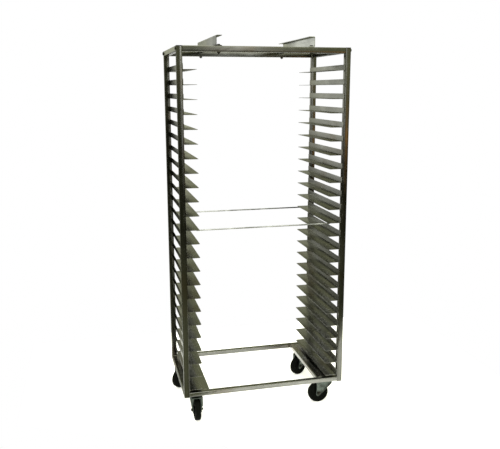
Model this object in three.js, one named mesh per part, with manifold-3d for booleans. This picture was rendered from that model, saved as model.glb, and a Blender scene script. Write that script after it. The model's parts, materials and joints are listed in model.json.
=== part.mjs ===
// A free-standing oven rack for sheet pans, in stainless steel, on four swivel casters.
//
// Millimetres, +Z up. +X is the rack's right side and -Y its open front. The origin is on the
// floor, at the bottom centre of the bounding box. Pans slide in along Y onto 24 pairs of
// angle-shaped slides, and two C channels on top take the lifting arms of an oven.

import * as THREE from 'three';
import { mergeVertices } from 'three/addons/utils/BufferGeometryUtils.js';
import Module from 'manifold-3d';

// ---- driving dimensions ----------------------------------------------------------------

const RACK_WIDTH = 782;            // over the uprights, along X
const RACK_DEPTH = 483;            // over the uprights, along Y
const TUBE = 25.4;                 // side of the square upright tube
const TUBE_WALL = 1.5;
const BASE_RAIL_HEIGHT = 20;       // every horizontal rail is 25.4 wide
const TOP_RAIL_HEIGHT = 23;
const BASE_UNDERSIDE = 130;        // floor to the underside of the base, the casters' height
const FRAME_TOP = 1723;            // floor to the top of the uprights
const GAP = 0.3;                   // between pieces that rest on each other

const SLIDE_PAIRS = 24;
const SLIDE_PITCH = 63.5;
const LOWEST_SLIDE = 164;          // underside of the lowest ledge
const SLIDE_SHEET = 1.5;
const SLIDE_FLANGE = 25;           // height of the upright leg of the angle
const SLIDE_LEDGE = 61;            // width of the level leg
const SLIDE_END_INSET = 2;         // slide ends behind the faces of the uprights
const TIED_PAIR = 12;              // counted from the top, joined by the two tie rods
const TIE_ROD_RADIUS = 3.2;
const TIE_ROD_INSET = 20;          // rod centre behind the faces of the uprights
const TIE_ROD_LAP = 12;            // weld lap of a rod under a ledge

const FOOT_PLUG_DROP = 5;          // plug in the lower end of an upright, below the base
const FOOT_PLUG_DEPTH = 6;         // and inside the upright
const FOOT_PLUG_INSET = 1;
const FOOT_PLUG_VENT = 3;          // radius of the hole that lets hot air out of the tubes

const BASE_CHANNEL_WIDTH = 124;
const BASE_CHANNEL_SHEET = 2.5;
const CASTER_PAD_SHEET = 3;        // plate that closes the channel under each end
const CASTER_PAD_LENGTH = 112;

const LIFT_CHANNEL_X = 221;        // outer face of the web
const LIFT_CHANNEL_HEIGHT = 44.5;
const LIFT_CHANNEL_FLANGE = 26;
const LIFT_CHANNEL_SHEET = 2.5;

const BOLT_HEX = 7.2;              // corner radius of the heads and nuts of the frame's bolts
const BOLT_HEAD = 5;
const BOLT_RADIUS = 4;
const BOLT_END = 8;                // a bolt's end below its nut's seat
const LIFT_BOLT_X = 208;           // bolts through the lift channels, from the centre

const CASTER_X = 329;              // kingpin, from the centre of the rack
const CASTER_Y = 175;
const CASTER_TRAIL = 38;           // kingpin to axle, level
const CASTER_PLATE = { x: 60, y: 92, z: 3 };
const FORK_LEG_INNER = 16;         // middle of the wheel to the inside of a leg
const FORK_LEG_SHEET = 3;
const FORK_LEG_BACK = -26;         // rear edge of a leg, from the kingpin
const FORK_LEG_SHOULDER = 101;     // below this the rear edge slants in towards the axle
const FORK_LEG_FRONT = 52;         // front edge of a leg
const FORK_LEG_FOOT = { x: 43, z: 44.5, r: 9 };  // the rounding of a leg's lowest corner
const FORK_RIM = 8.5;              // height of the rim that a leg's edges are turned out to
const FORK_RIM_FOOT = 2.5;         // its height beside the axle
const FORK_CROWN_UNDERSIDE = 110;
const FORK_CROWN_SHEET = 5;
const RACEWAY_RADIUS = 27;
const AXLE_RADIUS = 4.75;
const AXLE_END = 29;               // end of the axle, from the middle of the wheel
const AXLE_HEX = 8;                // corner radius of the nuts
const AXLE_HEX_END = 25.5;         // outer face of a nut, from the middle of the wheel
const WHEEL_RADIUS = 51;
const WHEEL_WIDTH = 26;
const WHEEL_HUB_RADIUS = 14;
const WHEEL_HUB_WIDTH = 31;
const WHEEL_STEPS = 48;

// Where each caster sits, and which way its wheel trails at rest, counted from +X towards +Y.
const CASTERS = [
  { name: 'front_left', x: -CASTER_X, y: -CASTER_Y, trail: -90 },
  { name: 'front_right', x: CASTER_X, y: -CASTER_Y, trail: 180 },
  { name: 'rear_left', x: -CASTER_X, y: CASTER_Y, trail: 218 },
  { name: 'rear_right', x: CASTER_X, y: CASTER_Y, trail: 208 },
];

const halfWidth = RACK_WIDTH / 2;
const halfDepth = RACK_DEPTH / 2;
const baseTop = BASE_UNDERSIDE + BASE_RAIL_HEIGHT;
const topRailUnderside = FRAME_TOP - TOP_RAIL_HEIGHT;

// ---- materials --------------------------------------------------------------------------

const steel = (color, roughness) => () =>
  new THREE.MeshStandardMaterial({ color, roughness, metalness: 1 });

const frameSteel = steel(0x8d8f84, 0.35);
const slideSteel = steel(0xa3a49a, 0.4);
const channelSteel = steel(0xb9bbb6, 0.35);
const zincSteel = steel(0x8a9993, 0.3);
const blackRubber = () =>
  new THREE.MeshStandardMaterial({ color: 0x0c0f0e, roughness: 0.6, metalness: 0 });

// ---- solids -----------------------------------------------------------------------------

const wasm = await Module();
wasm.setup();

function toSolid(geometry) {
  const bare = geometry.index ? geometry.toNonIndexed() : geometry.clone();
  bare.deleteAttribute('normal');
  bare.deleteAttribute('uv');
  const merged = mergeVertices(bare, 1e-4);
  return new wasm.Manifold(new wasm.Mesh({
    numProp: 3,
    vertProperties: new Float32Array(merged.attributes.position.array),
    triVerts: new Uint32Array(merged.index.array),
  }));
}

function toGeometry(solid) {
  const mesh = solid.getMesh();
  const positions = new Float32Array(mesh.numVert * 3);
  for (let i = 0; i < mesh.numVert; i += 1) {
    for (let k = 0; k < 3; k += 1) {
      positions[3 * i + k] = mesh.vertProperties[mesh.numProp * i + k];
    }
  }
  const geometry = new THREE.BufferGeometry();
  geometry.setAttribute('position', new THREE.BufferAttribute(positions, 3));
  geometry.setIndex(new THREE.BufferAttribute(new Uint32Array(mesh.triVerts), 1));
  geometry.computeVertexNormals();
  return geometry;
}

const join = (solids) => solids.reduce((whole, solid) => whole.add(solid));

// A box between two corners.
function block([x0, y0, z0], [x1, y1, z1]) {
  const box = new THREE.BoxGeometry(Math.abs(x1 - x0), Math.abs(y1 - y0), Math.abs(z1 - z0));
  box.translate((x0 + x1) / 2, (y0 + y1) / 2, (z0 + z1) / 2);
  return toSolid(box);
}

// A round bar or, with six steps, a hexagon along one axis, whose middle is at the point.
function bar(axis, radius, length, steps, [x, y, z]) {
  const geometry = new THREE.CylinderGeometry(radius, radius, length, steps);
  if (axis === 'x') {
    geometry.rotateZ(Math.PI / 2);
  } else if (axis === 'z') {
    geometry.rotateX(Math.PI / 2);
  }
  geometry.translate(x, y, z);
  return toSolid(geometry);
}

function named(name, geometry, material) {
  const mesh = new THREE.Mesh(geometry, material());
  mesh.name = name;
  return mesh;
}

// ---- welded frame -----------------------------------------------------------------------

const signs = [-1, 1];

function uprights(inset) {
  return signs.flatMap((sx) => signs.map((sy) => block(
    [sx * (halfWidth - inset), sy * (halfDepth - inset), BASE_UNDERSIDE - inset],
    [sx * (halfWidth - TUBE + inset), sy * (halfDepth - TUBE + inset), FRAME_TOP - inset],
  )));
}

function footPlugs() {
  const near = FOOT_PLUG_INSET;
  const far = TUBE - FOOT_PLUG_INSET;
  return signs.flatMap((sx) => signs.map((sy) => {
    const plug = block(
      [sx * (halfWidth - near), sy * (halfDepth - near), BASE_UNDERSIDE - FOOT_PLUG_DROP],
      [sx * (halfWidth - far), sy * (halfDepth - far), BASE_UNDERSIDE + FOOT_PLUG_DEPTH],
    );
    const axis = [sx * (halfWidth - TUBE / 2), sy * (halfDepth - TUBE / 2), BASE_UNDERSIDE];
    return plug.subtract(bar('z', FOOT_PLUG_VENT, TUBE, 16, axis));
  }));
}

// The hollow of a rail reaches into the hollow uprights at both of its ends.
function topSideRails(inset) {
  const end = halfDepth - TUBE + 2 * inset;
  return signs.map((sx) => block(
    [sx * (halfWidth - inset), -end, topRailUnderside + inset],
    [sx * (halfWidth - TUBE + inset), end, FRAME_TOP - inset],
  ));
}

function baseCrossRails(inset) {
  const end = halfWidth - TUBE + 2 * inset;
  return signs.map((sy) => block(
    [-end, sy * (halfDepth - inset), BASE_UNDERSIDE + inset],
    [end, sy * (halfDepth - TUBE + inset), baseTop - inset],
  ));
}

function baseChannels() {
  const end = halfDepth - TUBE;
  return signs.map((sx) => block(
    [sx * halfWidth, -end, BASE_UNDERSIDE],
    [sx * (halfWidth - BASE_CHANNEL_WIDTH), end, baseTop],
  ));
}

// A base channel is open below, except over the pad at each of its ends.
function baseChannelHollows() {
  const end = halfDepth - TUBE;
  const outer = halfWidth - BASE_CHANNEL_SHEET;
  const inner = halfWidth - BASE_CHANNEL_WIDTH + BASE_CHANNEL_SHEET;
  const padEnd = end - CASTER_PAD_LENGTH;
  return signs.flatMap((sx) => [
    block(
      [sx * outer, -end, BASE_UNDERSIDE + CASTER_PAD_SHEET],
      [sx * inner, end, baseTop - BASE_CHANNEL_SHEET],
    ),
    block([sx * outer, -padEnd, BASE_UNDERSIDE - 1], [sx * inner, padEnd, baseTop - 5]),
  ]);
}

function casterPlates() {
  const { x, y, z } = CASTER_PLATE;
  return CASTERS.map((caster) => block(
    [caster.x - x / 2, caster.y - y / 2, BASE_UNDERSIDE - z],
    [caster.x + x / 2, caster.y + y / 2, BASE_UNDERSIDE + 1],
  ));
}

// The heads of the bolts that hold the top cross rails between the uprights.
function cornerBoltHeads() {
  const y = halfDepth - TUBE / 2;
  const z = FRAME_TOP - TOP_RAIL_HEIGHT / 2;
  return signs.flatMap((sx) => signs.map((sy) => bar(
    'x', BOLT_HEX, BOLT_HEAD + 1, 6, [sx * (halfWidth + (BOLT_HEAD - 1) / 2), sy * y, z],
  )));
}

function weldedFrame() {
  const bars = join([
    ...uprights(0), ...topSideRails(0), ...baseCrossRails(0), ...baseChannels(),
  ]);
  const hollows = join([
    ...uprights(TUBE_WALL), ...topSideRails(TUBE_WALL), ...baseCrossRails(TUBE_WALL),
    ...baseChannelHollows(),
  ]);
  const additions = join([...casterPlates(), ...cornerBoltHeads(), ...footPlugs()]);
  return toGeometry(bars.subtract(hollows).add(additions));
}

// ---- slides and tie rods ----------------------------------------------------------------

const slideUnderside = (pair) => LOWEST_SLIDE + (SLIDE_PAIRS - pair) * SLIDE_PITCH;

// An angle: the flange stands against the uprights, the ledge reaches inwards.
function slideGeometry(side, pair) {
  const section = new THREE.Shape();
  section.moveTo(0, 0);
  section.lineTo(-SLIDE_LEDGE, 0);
  section.lineTo(-SLIDE_LEDGE, SLIDE_SHEET);
  section.lineTo(-SLIDE_SHEET, SLIDE_SHEET);
  section.lineTo(-SLIDE_SHEET, SLIDE_FLANGE);
  section.lineTo(0, SLIDE_FLANGE);
  section.closePath();
  const length = RACK_DEPTH - 2 * SLIDE_END_INSET;
  const geometry = new THREE.ExtrudeGeometry(section, { depth: length, bevelEnabled: false });
  geometry.translate(0, 0, -length / 2);
  geometry.rotateX(Math.PI / 2);
  if (side < 0) {
    geometry.rotateZ(Math.PI);
  }
  geometry.translate(side * (halfWidth - TUBE - GAP), 0, slideUnderside(pair));
  return geometry;
}

function tieRod(sy, underside) {
  const reach = halfWidth - TUBE - GAP - SLIDE_LEDGE + TIE_ROD_LAP;
  return bar('x', TIE_ROD_RADIUS, 2 * reach, 12, [
    0, sy * (halfDepth - TIE_ROD_INSET), underside - TIE_ROD_RADIUS + 0.4,
  ]);
}

function tiedSlides() {
  const underside = slideUnderside(TIED_PAIR);
  return toGeometry(join([
    ...signs.map((side) => toSolid(slideGeometry(side, TIED_PAIR))),
    ...signs.map((sy) => tieRod(sy, underside)),
  ]));
}

function slides() {
  const meshes = [];
  for (let pair = 1; pair <= SLIDE_PAIRS; pair += 1) {
    const number = String(pair).padStart(2, '0');
    if (pair === TIED_PAIR) {
      meshes.push(named(`tied_slides_${number}`, tiedSlides(), slideSteel));
    } else {
      meshes.push(named(`left_slide_${number}`, slideGeometry(-1, pair), slideSteel));
      meshes.push(named(`right_slide_${number}`, slideGeometry(1, pair), slideSteel));
    }
  }
  return meshes;
}

// ---- top rails and lift channels --------------------------------------------------------

// A cross rail carries the nuts and the bolt ends of both lift channels on its underside.
function topCrossRail(sy) {
  const end = halfWidth - TUBE - GAP;
  const boltY = sy * (halfDepth - TUBE / 2);
  const nuts = signs.flatMap((side) => [
    bar('z', BOLT_HEX, BOLT_HEAD + 1, 6,
      [side * LIFT_BOLT_X, boltY, topRailUnderside - (BOLT_HEAD - 1) / 2]),
    bar('z', BOLT_RADIUS, BOLT_END + 1, 16,
      [side * LIFT_BOLT_X, boltY, topRailUnderside - (BOLT_END - 1) / 2]),
  ]);
  const outer = sy * halfDepth;
  const inner = sy * (halfDepth - TUBE);
  const wall = TUBE_WALL;
  const tube = block([-end, outer, topRailUnderside], [end, inner, FRAME_TOP]);
  const hollow = block(
    [-end - 1, outer - sy * wall, topRailUnderside + wall],
    [end + 1, inner + sy * wall, FRAME_TOP - wall],
  );
  return toGeometry(tube.subtract(hollow).add(join(nuts)));
}

// A C channel that lies across the two top rails and opens towards the middle of the rack.
// The heads of its two bolts stand on its lower flange.
function liftChannel(side) {
  const web = side * LIFT_CHANNEL_X;
  const tips = side * (LIFT_CHANNEL_X - LIFT_CHANNEL_FLANGE);
  const bottom = FRAME_TOP + GAP;
  const top = bottom + LIFT_CHANNEL_HEIGHT;
  const sheet = LIFT_CHANNEL_SHEET;
  const section = block([web, -halfDepth, bottom], [tips, halfDepth, top]);
  const hollow = block(
    [web - side * sheet, -halfDepth - 1, bottom + sheet],
    [tips - side, halfDepth + 1, top - sheet],
  );
  const heads = signs.map((sy) => bar('z', BOLT_HEX, BOLT_HEAD + 1, 6, [
    side * LIFT_BOLT_X, sy * (halfDepth - TUBE / 2), bottom + sheet + (BOLT_HEAD - 1) / 2,
  ]));
  return toGeometry(section.subtract(hollow).add(join(heads)));
}

// ---- casters ----------------------------------------------------------------------------
// A caster is drawn about its kingpin: +X is the way the wheel trails and Y is the axle.

// The side of a leg: straight down on the far side, round the axle and slanting back up.
function legPlate(inset, y0, y1) {
  const top = FORK_CROWN_UNDERSIDE + 2;
  const { x, z, r } = FORK_LEG_FOOT;
  const leg = new THREE.Shape();
  leg.moveTo(FORK_LEG_BACK + inset, top);
  leg.lineTo(FORK_LEG_BACK + inset, FORK_LEG_SHOULDER);
  leg.absarc(x, z, r - inset, -0.75 * Math.PI, 0, false);
  leg.lineTo(FORK_LEG_FRONT - inset, top);
  leg.closePath();
  const plate = new THREE.ExtrudeGeometry(leg, {
    depth: y1 - y0, bevelEnabled: false, curveSegments: 8,
  });
  plate.rotateX(Math.PI / 2);
  plate.translate(0, y1, 0);
  return toSolid(plate);
}

// The rim stands out from a leg and gets lower towards the axle.
function forkRims() {
  const inner = FORK_LEG_INNER + FORK_LEG_SHEET - 0.5;
  const foot = FORK_LEG_INNER + FORK_LEG_SHEET + FORK_RIM_FOOT;
  const outer = FORK_LEG_INNER + FORK_LEG_SHEET + FORK_RIM;
  const heights = new THREE.Shape([
    [inner, 0], [foot, 0], [foot, 64], [outer, 74], [outer, 130], [inner, 130],
  ].map(([y, z]) => new THREE.Vector2(y, z)));
  const wedge = new THREE.ExtrudeGeometry(heights, { depth: 100, bevelEnabled: false });
  wedge.rotateX(Math.PI / 2);
  wedge.rotateZ(Math.PI / 2);
  wedge.translate(-40, 0, 0);
  const rim = legPlate(0, inner, outer).subtract(legPlate(FORK_LEG_SHEET, inner - 1, outer + 1));
  const tapered = rim.intersect(toSolid(wedge));
  return [tapered, tapered.mirror([0, 1, 0])];
}

function raceway() {
  const bottom = FORK_CROWN_UNDERSIDE + FORK_CROWN_SHEET - 1;
  const top = BASE_UNDERSIDE - CASTER_PLATE.z - GAP;
  const profile = [
    [0, bottom], [RACEWAY_RADIUS - 4, bottom], [RACEWAY_RADIUS - 4, bottom + 3],
    [RACEWAY_RADIUS, bottom + 5], [RACEWAY_RADIUS, top - 2], [RACEWAY_RADIUS - 3, top], [0, top],
  ].map(([r, z]) => new THREE.Vector2(r, z));
  const ring = new THREE.LatheGeometry(profile, 32);
  ring.rotateX(Math.PI / 2);
  return toSolid(ring);
}

function casterFork() {
  const outer = FORK_LEG_INNER + FORK_LEG_SHEET;
  const rimmed = outer + FORK_RIM;
  const crown = block(
    [FORK_LEG_BACK, -rimmed, FORK_CROWN_UNDERSIDE],
    [FORK_LEG_FRONT, rimmed, FORK_CROWN_UNDERSIDE + FORK_CROWN_SHEET],
  );
  const nutMiddle = (AXLE_HEX_END + outer - 0.5) / 2;
  const nuts = signs.map((side) => bar(
    'y', AXLE_HEX, AXLE_HEX_END - outer + 0.5, 6, [CASTER_TRAIL, side * nutMiddle, WHEEL_RADIUS],
  ));
  return toGeometry(join([
    crown,
    raceway(),
    legPlate(0, -outer, -FORK_LEG_INNER),
    legPlate(0, FORK_LEG_INNER, outer),
    ...forkRims(),
    bar('y', AXLE_RADIUS, 2 * AXLE_END, 24, [CASTER_TRAIL, 0, WHEEL_RADIUS]),
    ...nuts,
  ]));
}

function casterWheel() {
  const bore = AXLE_RADIUS + GAP;
  const rim = WHEEL_RADIUS;
  const half = WHEEL_WIDTH / 2;
  const hub = WHEEL_HUB_WIDTH / 2;
  const web = half - 5;
  const outline = [
    [bore, -hub], [WHEEL_HUB_RADIUS, -hub], [WHEEL_HUB_RADIUS + 1.5, -web], [rim - 15, -web],
    [rim - 12, -half], [rim - 2.5, -half], [rim, -half + 3.5],
  ];
  const mirrored = outline.map(([r, y]) => [r, -y]).reverse();
  const profile = [...outline, ...mirrored, outline[0]].map(([r, y]) => new THREE.Vector2(r, y));
  return toGeometry(toSolid(new THREE.LatheGeometry(profile, WHEEL_STEPS)));
}

function caster({ name, x, y, trail }) {
  const group = new THREE.Group();
  const wheel = named(`caster_wheel_${name}`, casterWheel(), blackRubber);
  wheel.position.set(CASTER_TRAIL, 0, WHEEL_RADIUS);
  group.add(named(`caster_fork_${name}`, casterFork(), zincSteel), wheel);
  group.position.set(x, y, 0);
  group.rotation.z = THREE.MathUtils.degToRad(trail);
  return group;
}

// ---- the rack ---------------------------------------------------------------------------

const rack = new THREE.Group();
rack.add(
  named('welded_frame', weldedFrame(), frameSteel),
  ...slides(),
  named('top_front_rail', topCrossRail(-1), frameSteel),
  named('top_rear_rail', topCrossRail(1), frameSteel),
  named('left_lift_channel', liftChannel(-1), channelSteel),
  named('right_lift_channel', liftChannel(1), channelSteel),
  ...CASTERS.map(caster),
);

// The casters swing out past the frame, so the box's middle isn't quite the frame's.
rack.updateMatrixWorld(true);
const middle = new THREE.Box3().setFromObject(rack, true).getCenter(new THREE.Vector3());
rack.position.set(-middle.x, -middle.y, 0);

export default rack;
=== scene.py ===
"""Looks of the sheet pan rack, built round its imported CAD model.

Shapes are drawn in millimetres about the middle of the rack, +X right, +Y to the back and +Z up
from the floor, as in the CAD source, and PLACE turns them into the row frame's metres. A caster
is drawn about its own kingpin, with +X the way its wheel trails and Y along its axle.
"""

import json
import math

import bmesh
import bpy
from mathutils import Matrix, Vector


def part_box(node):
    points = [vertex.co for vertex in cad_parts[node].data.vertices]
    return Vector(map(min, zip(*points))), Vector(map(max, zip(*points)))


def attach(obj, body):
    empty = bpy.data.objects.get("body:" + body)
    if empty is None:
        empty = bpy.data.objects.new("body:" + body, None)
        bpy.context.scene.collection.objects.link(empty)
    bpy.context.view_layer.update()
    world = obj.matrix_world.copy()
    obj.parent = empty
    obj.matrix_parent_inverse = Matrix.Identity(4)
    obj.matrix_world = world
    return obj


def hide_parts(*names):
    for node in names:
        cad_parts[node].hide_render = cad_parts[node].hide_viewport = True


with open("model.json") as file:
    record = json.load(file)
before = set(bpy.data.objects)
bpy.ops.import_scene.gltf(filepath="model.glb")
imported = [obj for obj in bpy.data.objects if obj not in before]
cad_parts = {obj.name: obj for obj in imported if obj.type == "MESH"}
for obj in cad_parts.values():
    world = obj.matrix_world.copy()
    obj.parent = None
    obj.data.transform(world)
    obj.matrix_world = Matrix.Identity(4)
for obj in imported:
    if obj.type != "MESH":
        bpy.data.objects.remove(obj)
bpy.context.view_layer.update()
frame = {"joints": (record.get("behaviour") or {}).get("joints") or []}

# ---- where things are --------------------------------------------------------------------

SIGNS = (-1, 1)
SIDE = {-1: "left", 1: "right"}
END = {-1: "front", 1: "rear"}

front_rail_lo, front_rail_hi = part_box("top_front_rail")
_, rear_rail_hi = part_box("top_rear_rail")
middle = Vector((
    (front_rail_lo.x + front_rail_hi.x) / 2,
    (front_rail_lo.y + rear_rail_hi.y) / 2,
    0.0,
))
PLACE = Matrix.Translation(middle) @ Matrix.Scale(0.001, 4)


def span(node):
    """A node's lowest and highest corners in millimetres, about the middle of the rack."""
    lo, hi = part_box(node)
    return (lo - middle) * 1000, (hi - middle) * 1000


rail_lo, rail_hi = span("top_front_rail")
HALF_DEPTH = -rail_lo.y
TUBE = rail_hi.y - rail_lo.y
SEAM = 0.3
HALF_WIDTH = rail_hi.x + SEAM + TUBE
FRAME_TOP = rail_hi.z
TOP_RAIL_HEIGHT = 23.0
RAIL_UNDERSIDE = FRAME_TOP - TOP_RAIL_HEIGHT
BASE_RAIL_HEIGHT = 20.0
BASE_UNDERSIDE = 130.0
BASE_TOP = BASE_UNDERSIDE + BASE_RAIL_HEIGHT
TUBE_WALL = 1.5
TUBE_RADIUS = 2.6
INNER_X = HALF_WIDTH - TUBE
INNER_Y = HALF_DEPTH - TUBE
TUBE_MIDDLE_Y = HALF_DEPTH - TUBE / 2
SLIDE_NUMBERS = [f"{k:02d}" for k in range(1, 25)]
TIED = "12"
LIFT_BOLT_X = 208.0

# ---- materials ---------------------------------------------------------------------------


class Nodes:
    """A material's node tree, with its Principled shader."""

    def __init__(self, name, **constants):
        self.material = bpy.data.materials.new(name)
        self.material.use_nodes = True
        self.tree = self.material.node_tree
        self.shader = self.tree.nodes["Principled BSDF"]
        for socket, value in constants.items():
            self.shader.inputs[socket.replace("_", " ")].default_value = value
        self.place = self.add("ShaderNodeTexCoord").outputs["Object"]

    def add(self, kind, attributes=None, inputs=None):
        node = self.tree.nodes.new(kind)
        for key, value in (attributes or {}).items():
            setattr(node, key, value)
        for key, value in (inputs or {}).items():
            if isinstance(value, bpy.types.NodeSocket):
                self.tree.links.new(value, node.inputs[key])
            else:
                node.inputs[key].default_value = value
        return node

    def noise(self, scale, detail=3.0, stretch=(1.0, 1.0, 1.0), offset=0.0, distortion=0.0):
        """Noise from 0 to 1; scale is in cycles per metre."""
        mapping = self.add("ShaderNodeMapping", None, {
            "Vector": self.place,
            "Location": (offset, offset * 0.7, offset * 1.3),
            "Scale": tuple(scale * s for s in stretch),
        })
        noise = self.add("ShaderNodeTexNoise", {"normalize": True}, {
            "Vector": mapping.outputs["Vector"], "Scale": 1.0, "Detail": detail,
            "Roughness": 0.6, "Distortion": distortion,
        })
        return noise.outputs["Fac"]

    def cells(self, scale):
        """A random grey for each crystal of a plated surface."""
        voronoi = self.add("ShaderNodeTexVoronoi", None, {"Vector": self.place, "Scale": scale})
        return voronoi.outputs["Color"]

    def remap(self, value, low, high, to_low=0.0, to_high=1.0):
        remap = self.add("ShaderNodeMapRange", {"interpolation_type": "SMOOTHSTEP"}, {
            "Value": value, "From Min": low, "From Max": high,
            "To Min": to_low, "To Max": to_high,
        })
        return remap.outputs["Result"]

    def math(self, operation, a, b):
        return self.add("ShaderNodeMath", {"operation": operation}, {0: a, 1: b}).outputs[0]

    def ramp(self, value, *stops):
        ramp = self.add("ShaderNodeValToRGB", None, {"Fac": value})
        elements = ramp.color_ramp.elements
        while len(elements) < len(stops):
            elements.new(0.5)
        for element, (position, colour) in zip(elements, stops):
            element.position = position
            element.color = (*colour, 1.0)
        return ramp.outputs["Color"]

    def mix(self, share, a, b, blend="MIX"):
        mix = self.add("ShaderNodeMix", {"data_type": "RGBA", "blend_type": blend}, {
            "Factor": share, "A": a, "B": b,
        })
        return mix.outputs["Result"]

    def bump(self, height, depth, strength=1.0, under=None):
        inputs = {"Height": height, "Distance": depth, "Strength": strength}
        if under is not None:
            inputs["Normal"] = under
        return self.add("ShaderNodeBump", None, inputs).outputs["Normal"]

    def finish(self, colour, roughness, normal):
        for socket, value in (
            ("Base Color", colour), ("Roughness", roughness), ("Normal", normal),
        ):
            self.tree.links.new(value, self.shader.inputs[socket])
        return self.material


def along(axis, with_grain, across):
    """Scales that stretch a pattern along one axis, as brushing does."""
    return tuple(with_grain if i == "xyz".index(axis) else across for i in range(3))


# Near black, used for rods and feet and as painted shade on outer faces; the values after it bound
# that painted shade across a face.
NEAR_BLACK = (0.03, 0.031, 0.026)
SHADE_FACE_START = -0.8
SHADE_FACE_END = 20.0
SHADE_FACE_FADE = 0.0003


def brushed_steel(name, axis, dark, light, stain, roughness, blotch_scale=5.0, painted_shade_face=None):
    """Rolled and brushed stainless: fine grain and long streaks along one axis, cloudy tarnish,
    warm stains, a few scratches and fingermarks.

    A painted-shade face is an outer one whose colour is darkened towards near black as painted
    shade. It is given as a side of the rack, the face's distance from the middle, how far the
    painted shade covers it and dulls it."""
    steel = Nodes(name, Metallic=1.0)
    grain = steel.noise(1.0, 2.0, along(axis, 22.0, 2600.0))
    streaks = steel.noise(1.0, 3.0, along(axis, 1.6, 130.0), 3.1)
    clouds = steel.noise(blotch_scale, 4.0, offset=7.7, distortion=0.4)
    smears = steel.noise(1.0, 3.0, along(axis, 9.0, 26.0), 12.3, 0.8)
    scratches = steel.remap(steel.noise(1.0, 2.0, along(axis, 5.0, 700.0), 21.0), 0.66, 0.74)
    tone = steel.math("ADD", steel.math("MULTIPLY", streaks, 0.45),
                      steel.math("MULTIPLY", clouds, 0.55))
    plain = steel.ramp(tone, (0.36, dark), (0.64, light))
    brushed = steel.mix(steel.remap(grain, 0.3, 0.7, 0.0, 0.2), plain, (*dark, 1.0))
    stains = steel.remap(steel.noise(3.3, 3.0, offset=31.0, distortion=0.6), 0.52, 0.7, 0.0, 0.5)
    stained = steel.mix(stains, brushed, (*stain, 1.0))
    worn = steel.mix(steel.math("MULTIPLY", scratches, 0.4), stained, (*light, 1.0))
    # Painted shade: the outer face's colour is darkened towards near black.
    if painted_shade_face:
        side, distance, cover, dullness = painted_shade_face
        start, end = sorted(middle.x + side * (distance + past) / 1000
                            for past in (SHADE_FACE_START, SHADE_FACE_END))
        x = steel.add("ShaderNodeSeparateXYZ", None, {"Vector": steel.place}).outputs["X"]
        inside = steel.math("MULTIPLY", steel.remap(x, start - SHADE_FACE_FADE, start + SHADE_FACE_FADE),
                            steel.remap(x, end - SHADE_FACE_FADE, end + SHADE_FACE_FADE, 1.0, 0.0))
        shade_share = steel.math("MULTIPLY", inside, steel.remap(smears, 0.3, 0.7, cover, 0.8 * cover))
        worn = steel.mix(shade_share, worn, (*NEAR_BLACK, 1.0))
    rough = steel.math("ADD", steel.remap(smears, 0.35, 0.7, roughness - 0.04, roughness + 0.06),
                       steel.remap(grain, 0.3, 0.7, 0.0, 0.04))
    if painted_shade_face:
        rough = steel.math("ADD", rough, steel.math("MULTIPLY", inside, dullness))
    normal = steel.bump(grain, 0.00006, 0.16)
    normal = steel.bump(clouds, 0.0004, 0.3, normal)
    return steel.finish(worn, rough, normal)


def zinc_plating():
    """Bluish bright zinc over stamped steel, with fine crystals, dulled patches and grime."""
    zinc = Nodes("zinc_plating", Metallic=1.0)
    crystals = zinc.remap(zinc.cells(420.0), 0.0, 1.0)
    clouds = zinc.noise(28.0, 4.0, distortion=0.5)
    grime = zinc.remap(zinc.noise(45.0, 5.0, offset=5.0), 0.52, 0.72, 0.0, 0.75)
    tone = zinc.math("ADD", zinc.math("MULTIPLY", crystals, 0.25),
                     zinc.math("MULTIPLY", clouds, 0.75))
    plated = zinc.ramp(tone, (0.3, (0.046, 0.055, 0.051)), (0.7, (0.12, 0.14, 0.129)))
    colour = zinc.mix(grime, plated, (0.03, 0.032, 0.026, 1.0))
    rough = zinc.math("ADD", zinc.remap(clouds, 0.3, 0.7, 0.28, 0.42),
                      zinc.math("MULTIPLY", grime, 0.25))
    normal = zinc.bump(clouds, 0.0005, 0.4)
    normal = zinc.bump(zinc.noise(900.0, 2.0), 0.00004, 0.6, normal)
    return zinc.finish(colour, rough, normal)


def dark_bolt_steel():
    """Black-oxide bolts, rubbed brighter where a spanner and dust have been."""
    steel = Nodes("dark_bolt_steel", Metallic=1.0)
    wear = steel.remap(steel.noise(260.0, 4.0), 0.48, 0.7)
    colour = steel.ramp(wear, (0.0, (0.022, 0.022, 0.018)), (1.0, (0.13, 0.125, 0.105)))
    rough = steel.remap(wear, 0.0, 1.0, 0.5, 0.32)
    return steel.finish(colour, rough, steel.bump(steel.noise(1400.0, 3.0), 0.00006, 0.7))


def weld_metal():
    """Weld beads, with the straw and blue tint of heated stainless."""
    weld = Nodes("weld_metal", Metallic=1.0)
    tint = weld.noise(130.0, 3.0)
    colour = weld.ramp(tint, (0.3, (0.10, 0.085, 0.055)), (0.55, (0.25, 0.25, 0.21)),
                       (0.75, (0.12, 0.13, 0.17)))
    rough = weld.remap(tint, 0.3, 0.7, 0.32, 0.5)
    return weld.finish(colour, rough, weld.bump(weld.noise(700.0, 4.0), 0.0003, 0.6))


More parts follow.
